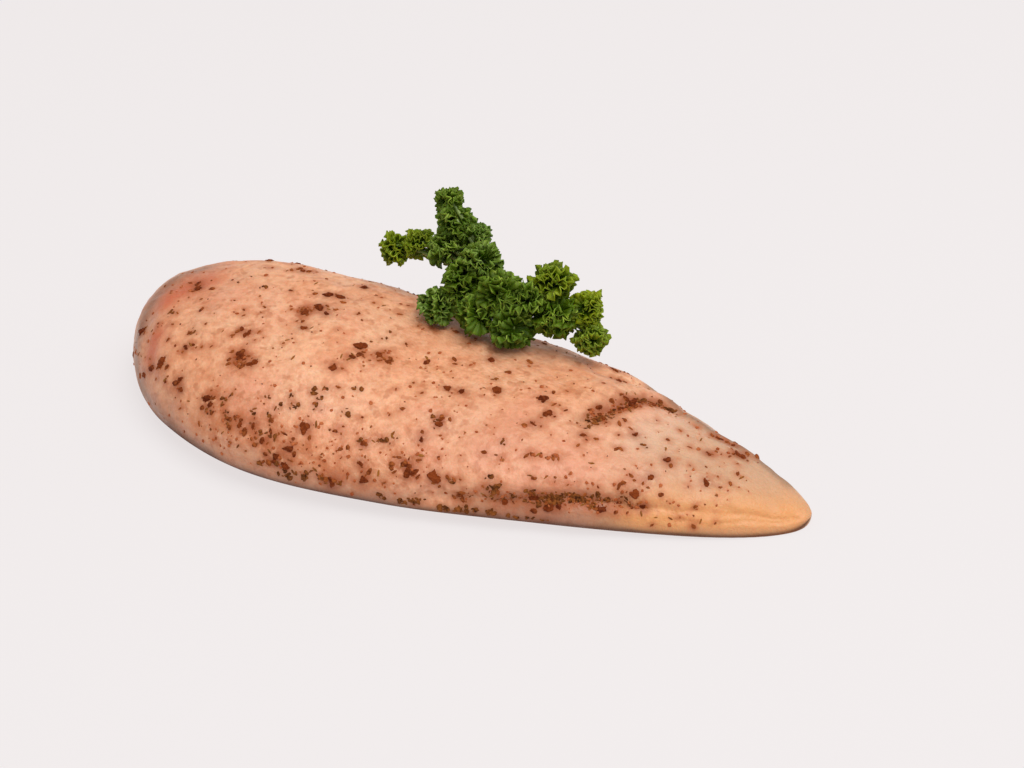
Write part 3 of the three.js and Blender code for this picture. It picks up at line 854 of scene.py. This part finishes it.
# How yellow and how pale each head's leaves are.
YELLOWING = [0.2, 0.1, 0.1, 0.75, 0.9, 0.2, 0.2, 0.15, 0.1, 0.15, 0.05, 0.15, 0.05, 0.7, 0.1, 1, 0.7]
PALENESS = [0.3, 0.25, 0.8, 0.1, 0.15, 0.6, 0.8, 0.2, 0.9, 0.2, 0.2, 0.3, 0.2, 0.1, 0.05, 0.1, 0.4]


def unit(vectors):
    """Vectors scaled to length one."""
    return vectors / np.linalg.norm(vectors, axis=-1, keepdims=True)


def head_axes(number):
    """Directions of a head: up away from the hub and towards the light, and two across it."""
    centre = np.array(HEADS[number][0], float)
    up = unit(unit(centre - HUB) + np.array(HEAD_LEAN))
    side = unit(np.cross([0.0, 0.0, 1.0], up))
    turn = 2 * math.pi * draw(number, 40)
    side = side * math.cos(turn) + np.cross(up, side) * math.sin(turn)
    return centre, up, side, np.cross(up, side)


def leaflet_axes(number):
    """For each leaflet of a head: the way it leaves the head, the way it bends, and its breadth.
    They are spread by the golden angle over the upper four fifths of a ball."""
    centre, up, side, other = head_axes(number)
    leaf = np.arange(LEAFLETS)
    rise = 1 - 2 * BALL_SHARE * (leaf + 0.5) / LEAFLETS
    turn = leaf * GOLDEN_ANGLE + BALL_UNEVEN * draw(leaf + HEAD_ITEMS * number, 41)
    out = np.sqrt(1 - rise**2)
    way = rise[:, None] * up + (out * np.cos(turn))[:, None] * side
    way = way + (out * np.sin(turn))[:, None] * other
    first = unit(np.cross(way, unit(up + 0.3 * side)))
    second = np.cross(way, first)
    roll = 2 * math.pi * draw(leaf + HEAD_ITEMS * number, 42)
    bend = np.cos(roll)[:, None] * first + np.sin(roll)[:, None] * second
    return centre, way, bend, np.cross(way, bend)


def between(limits, share):
    """Value at a share of the way between two limits."""
    return limits[0] + (limits[1] - limits[0]) * share


def leaflet_sheets(number, share, sweep):
    """Middle surfaces of a head's leaflets. Each is a fan of share and sweep whose mid-line bends
    along an arc; ruffles grow towards the edge, sway sideways and carry smaller ones, and the edge
    is cut into teeth. Returns the points and how far up each lies on its ruffle."""
    centre, way, bend, breadth = leaflet_axes(number)
    reach = HEADS[number][1]
    items = np.arange(LEAFLETS)[:, None, None] + HEAD_ITEMS * number
    length = reach * between(LEAF_LENGTH, draw(items, 43))
    folds = between(LEAF_FOLDS, draw(items, 44))
    curl = between(LEAF_BEND, draw(items, 45))
    phase = 2 * math.pi * draw(items, 46)
    wave = folds * sweep + phase + RUFFLE_UNEVEN * np.sin(2 * sweep + phase)
    sway = sweep + RUFFLE_SWAY / folds * share**2 * np.cos(wave)
    lobe = 1 - LOBE_DEPTH * share**2 * (0.5 + 0.5 * np.cos(LOBES * sweep + phase))
    teeth = 1 - TOOTH_DEPTH * share**4 * np.abs(np.sin(TEETH * folds * sweep))
    radius = length * share * lobe * teeth
    along_it = radius * np.cos(FAN_CLOSED * sway)
    across_it = radius * np.sin(FAN_CLOSED * sway)
    rise = FOLD_HEIGHT * length * share**RUFFLE_GROWTH * np.sin(wave)
    rise = rise + SMALL_HEIGHT * length * share**3 * np.sin(SMALL_RATE * wave + 1)
    angle = curl * along_it / length
    forward = length / curl * np.sin(angle) - rise * np.sin(angle)
    over = length / curl * (1 - np.cos(angle)) + rise * np.cos(angle)
    over = over - SIDE_HANG * across_it**2 / length
    base = between(LEAF_BASE, draw(np.arange(LEAFLETS) + HEAD_ITEMS * number, 48))
    start = centre + (base * reach)[:, None] * way
    points = start[:, None, None] + forward[..., None] * way[:, None, None]
    points = points + over[..., None] * bend[:, None, None]
    return points + across_it[..., None] * breadth[:, None, None], 0.5 + 0.5 * np.sin(wave)


# Margin in mm that leaves keep for the meat's relief, and how often the range is halved.
MEAT_MARGIN = 0.5
HALVINGS = 20


def top_height(points):
    """Height of the meat's upper skin below each point and a margin for its relief, found by
    halving the range of turns whose width brackets the point; minus infinity beside the meat."""
    angle = station_angle(points[..., 0])
    low = np.zeros(angle.shape)
    high = np.full(angle.shape, math.pi)
    for _ in range(HALVINGS):
        middle = (low + high) / 2
        short = smooth_skin(angle, middle)[..., 1] < points[..., 1]
        low = np.where(short, middle, low)
        high = np.where(short, high, middle)
    found = smooth_skin(angle, low)
    beside = np.abs(found[..., 1] - points[..., 1]) > MEAT_MARGIN
    return np.where(beside, -np.inf, found[..., 2] + MEAT_MARGIN)


def sheet_faces(rows, columns):
    """Quads of both faces of a sheet of rows by columns, and of the wall round its border."""
    count = rows * columns
    upper = grid_faces(rows, columns, closed=False)
    grid = np.arange(count).reshape(rows, columns)
    border = np.concatenate([grid[0, :-1], grid[:-1, -1], grid[-1, :0:-1], grid[:0:-1, 0]])
    following = np.roll(border, -1)
    wall = np.stack([border, following, following + count, border + count], -1)
    return np.concatenate([upper, upper[:, ::-1] + count, wall])


def head_leaves(number):
    """Points of a head's leaflets: both faces of each, half a thickness either side of its middle
    surface and kept above the meat; and the masks of its colours."""
    share = np.linspace(LEAF_START, 1, LEAF_ROWS)[:, None] * np.ones(LEAF_COLUMNS)
    sweep = np.linspace(-LEAF_FAN, LEAF_FAN, LEAF_COLUMNS) * np.ones((LEAF_ROWS, 1))
    here, crest = leaflet_sheets(number, share, sweep)
    outward = leaflet_sheets(number, share + SLOPE_STEP, sweep)[0] - here
    sideways = leaflet_sheets(number, share, sweep + SLOPE_STEP)[0] - here
    half = unit(np.cross(outward, sideways)) * LEAF_THICKNESS / 2
    here[..., 2] = np.maximum(here[..., 2], top_height(here) + LEAF_REST)
    points = np.stack([here + half, here - half], 1)
    depth = np.linalg.norm(here - np.array(HEADS[number][0]), axis=-1) / HEADS[number][1]
    same = np.ones(here.shape[:-1])
    masks = {
        "edge": share * same, "ridge": crest, "depth": depth,
        "yellow": YELLOWING[number] * same, "pale": PALENESS[number] * same,
    }
    return points, {label: np.stack([values, values], 1) for label, values in masks.items()}


leaf_quads = sheet_faces(LEAF_ROWS, LEAF_COLUMNS)
heads = [head_leaves(number) for number in range(len(HEADS))]
leaf_points = np.concatenate([points.reshape(-1, 3) for points, _ in heads])
leaf_masks = {
    label: np.concatenate([masks[label].ravel() for _, masks in heads]) for label in heads[0][1]
}
leaf_offsets = np.arange(len(HEADS) * LEAFLETS) * 2 * LEAF_ROWS * LEAF_COLUMNS
leaf_faces = (leaf_quads[None] + leaf_offsets[:, None, None]).reshape(-1, 4)
leaves = new_piece("parsley_leaves", leaf_points, [leaf_faces], leaf_masks)

LEAF_SHADE_GREEN = tone(56, 80, 2)
LEAF_LIT_GREEN = tone(102, 134, 10)
# Colour of the painted highlight flecks.
LEAF_HIGHLIGHT = tone(164, 188, 68)
LEAF_YELLOW = tone(152, 160, 4)
LEAF_PALE = tone(140, 166, 84)

# Where on a head the painted light begins and is full, how strongly it lightens the ridges and the
# painted highlight flecks, how close to the edge the flecks lie, and how strongly heads turn yellow
# or pale.
OUTER_PART = (0.4, 0.95)
RIDGE_GAIN, GLINT_GAIN = 1.3, 1.8
GLINT_EDGE = 4.0
YELLOW_SHARE, PALE_GAIN = 0.8, 1.5


def leaf_material():
    """Fresh leaf: painted shade, deep green, in the folds and inside the head, and painted
    light on the ridges and the curled edge, with painted highlight flecks there, some heads
    yellower, some paler where the painted light falls, and a little light passing through."""
    material, tree, shader = new_material("parsley_leaf")
    ridge = maths(tree, "MULTIPLY", mask(tree, "ridge"), mask(tree, "edge"))
    outer = add(tree, "MapRange", {
        "Value": mask(tree, "depth"), "From Min": OUTER_PART[0], "From Max": OUTER_PART[1],
    })
    light = maths(tree, "MULTIPLY", ridge, outer.outputs["Result"])
    # Painted light on the ridges of the outer part, painted shade in the folds and inside the head.
    colour = blend(tree, maths(tree, "MULTIPLY", light, RIDGE_GAIN), LEAF_SHADE_GREEN, LEAF_LIT_GREEN)
    # Painted highlight flecks on the lit ridges near the edge.
    tip = maths(tree, "POWER", mask(tree, "edge"), GLINT_EDGE)
    spots = patches(tree, scale=330, low=0.45, high=0.65)
    painted_glint = maths(tree, "MULTIPLY", maths(tree, "MULTIPLY", tip, light), spots)
    colour = blend(tree, maths(tree, "MULTIPLY", painted_glint, GLINT_GAIN), colour, LEAF_HIGHLIGHT)
    yellow = maths(tree, "MULTIPLY", mask(tree, "yellow"), outer.outputs["Result"])
    colour = blend(tree, maths(tree, "MULTIPLY", yellow, YELLOW_SHARE), colour, LEAF_YELLOW)
    pale = maths(tree, "MULTIPLY", mask(tree, "pale"), maths(tree, "MULTIPLY", light, PALE_GAIN))
    colour = blend(tree, pale, colour, LEAF_PALE)
    tree.links.new(colour, shader.inputs["Base Color"])
    bump = add(tree, "Bump", {"Height": patches(tree, 1400), "Distance": 0.0002, "Strength": 0.4})
    tree.links.new(bump.outputs["Normal"], shader.inputs["Normal"])
    shader.inputs["Roughness"].default_value = 0.5
    shader.inputs["Specular IOR Level"].default_value = 0.2
    shader.inputs["Subsurface Weight"].default_value = 0.2
    shader.inputs["Subsurface Radius"].default_value = (0.4, 1.0, 0.15)
    shader.inputs["Subsurface Scale"].default_value = 0.001
    return material


leaves.data.materials.append(leaf_material())
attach(leaves, "root")
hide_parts("parsley")

# The parsley stalks: thin juicy stems that part from one cut stalk and each end in a head. They
# are round tubes carried along bowed paths, a little thinner towards the leaves.
STALK_RADIUS = 0.8
STALK_THIN = 0.55
STALK_STEPS = 18
STALK_SIDES = 12
CUT_STALK = 1.3
CUT_END = ((5, 18, 27), (2, 25, 23), (-3, 30.5, 17))
# A head's stalk bows upwards by a share of its reach along x and a fixed rise, and goes on into
# the head by a share of its length.
STALK_BOW, STALK_RISE, STALK_INTO_HEAD = 0.12, 1, 0.1


def bowed_path(start, middle, end):
    """Points on the parabola that starts at start, passes middle half way and stops at end."""
    t = np.linspace(0, 1, STALK_STEPS)[:, None]
    pull = 2 * np.array(middle, float) - (np.array(start, float) + np.array(end, float)) / 2
    return (1 - t) ** 2 * np.array(start) + 2 * t * (1 - t) * pull + t**2 * np.array(end)


def tube(path, radii):
    """Rings round a path: each is a circle on the two directions square to the path, closed by
    a point at each end."""
    forward = unit(np.gradient(path, axis=0))
    first = unit(np.cross(forward, [0.3, 0.5, 0.8]))
    second = np.cross(forward, first)
    turn = 2 * math.pi * np.arange(STALK_SIDES) / STALK_SIDES
    circle = np.cos(turn)[:, None] * first[:, None] + np.sin(turn)[:, None] * second[:, None]
    rings = path[:, None] + circle * radii[:, None, None]
    points = np.concatenate([rings.reshape(-1, 3), path[:1], path[-1:]])
    side = np.arange(STALK_SIDES)
    far = side + (len(path) - 1) * STALK_SIDES
    start = np.stack([np.full(STALK_SIDES, len(points) - 2), np.roll(side, -1), side], -1)
    stop = np.stack([np.full(STALK_SIDES, len(points) - 1), far, np.roll(far, -1)], -1)
    return points, grid_faces(len(path), STALK_SIDES)[:, ::-1], np.concatenate([start, stop])


def head_stalk(number):
    """Stalk from the hub to just inside a head, bowed upwards."""
    at = np.array(HEADS[number][0], float)
    middle = (HUB + at) / 2
    middle[2] += STALK_BOW * abs(at[0] - HUB[0]) + STALK_RISE
    path = bowed_path(HUB, middle, at + STALK_INTO_HEAD * (at - HUB))
    return tube(path, np.linspace(STALK_RADIUS, STALK_THIN, STALK_STEPS))


stalk_points, stalk_faces = [], []
cut_stalk = tube(bowed_path(*CUT_END), np.full(STALK_STEPS, STALK_RADIUS * CUT_STALK))
for points, quads, caps in [cut_stalk] + [head_stalk(number) for number in range(len(HEADS))]:
    offset = len(stalk_points) * len(points)
    stalk_points.append(points)
    stalk_faces += [quads + offset, caps + offset]
stalks = new_piece("parsley_stalks", np.concatenate(stalk_points), stalk_faces)


def stalk_material():
    """Pale green stem with faint lengthwise streaks."""
    material, tree, shader = new_material("parsley_stalk")
    colour = blend(tree, patches(tree, 500), tone(96, 120, 44), tone(138, 158, 78))
    tree.links.new(colour, shader.inputs["Base Color"])
    shader.inputs["Roughness"].default_value = 0.4
    return material


stalks.data.materials.append(stalk_material())
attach(stalks, "root")
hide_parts("parsley")

# The setting: a plain pale surface under soft studio light from above and the right, and a
# camera that looks down on the long side of the breast from its tip end.
VIEW_AZIMUTH = math.radians(26.2)
VIEW_ELEVATION = math.radians(32.0)
VIEW_TARGET = Vector((0.002, 0.0259, 0.0))
VIEW_DISTANCE = 0.6606
VIEW_LENS = 85.0

FLOOR_HALF = 2.5
FLOOR_HEIGHT = -0.0002
FLOOR_TONE = (241, 235, 235)
FLOOR_SHARE = 0.42
FLOOR_GLOW = 0.83
floor_mesh = bpy.data.meshes.new("floor")
floor_mesh.from_pydata(
    [
        (sx * FLOOR_HALF, sy * FLOOR_HALF, FLOOR_HEIGHT)
        for sx, sy in ((-1, -1), (1, -1), (1, 1), (-1, 1))
    ],
    [], [(0, 1, 2, 3)],
)
floor = bpy.data.objects.new("floor", floor_mesh)
bpy.context.scene.collection.objects.link(floor)
floor_material, floor_tree, floor_shader = new_material("pale_surface")
floor_shader.inputs["Base Color"].default_value = tone(*[round(255 * FLOOR_SHARE)] * 3)
floor_shader.inputs["Roughness"].default_value = 1.0
floor_shader.inputs["Specular IOR Level"].default_value = 0.0
floor_shader.inputs["Emission Color"].default_value = tone(*FLOOR_TONE)
floor_shader.inputs["Emission Strength"].default_value = FLOOR_GLOW
floor.data.materials.append(floor_material)

SKY_TONE = (1.0, 0.99, 0.98, 1.0)
SKY_STRENGTH = 0.45
world = bpy.data.worlds.new("studio")
bpy.context.scene.world = world
world.use_nodes = True
world.node_tree.nodes["Background"].inputs["Color"].default_value = SKY_TONE
world.node_tree.nodes["Background"].inputs["Strength"].default_value = SKY_STRENGTH


KEY_PLACE = (0.45, -0.2, 1.25)
KEY_SIZE, KEY_POWER = 1.1, 14
LIGHT_AIM = Vector((0, 0, 0.02))


def area_light(name, place, size, power):
    """Square soft light at a place, aimed at the middle of the breast."""
    light = bpy.data.lights.new(name, "AREA")
    light.size = size
    light.energy = power
    lamp = bpy.data.objects.new(name, light)
    lamp.location = place
    lamp.rotation_euler = (Vector(place) - LIGHT_AIM).to_track_quat("Z", "Y").to_euler()
    bpy.context.scene.collection.objects.link(lamp)


area_light("key_light", KEY_PLACE, KEY_SIZE, KEY_POWER)

back = Vector((
    math.sin(VIEW_AZIMUTH) * math.cos(VIEW_ELEVATION),
    -math.cos(VIEW_AZIMUTH) * math.cos(VIEW_ELEVATION),
    math.sin(VIEW_ELEVATION),
))
camera_data = bpy.data.cameras.new("camera")
camera_data.lens = VIEW_LENS
camera_data.clip_start = 0.01
camera = bpy.data.objects.new("camera", camera_data)
camera.location = VIEW_TARGET + back * VIEW_DISTANCE
camera.rotation_euler = back.to_track_quat("Z", "Y").to_euler()
bpy.context.scene.collection.objects.link(camera)
bpy.context.scene.camera = camera
bpy.context.scene.view_settings.view_transform = "Standard"
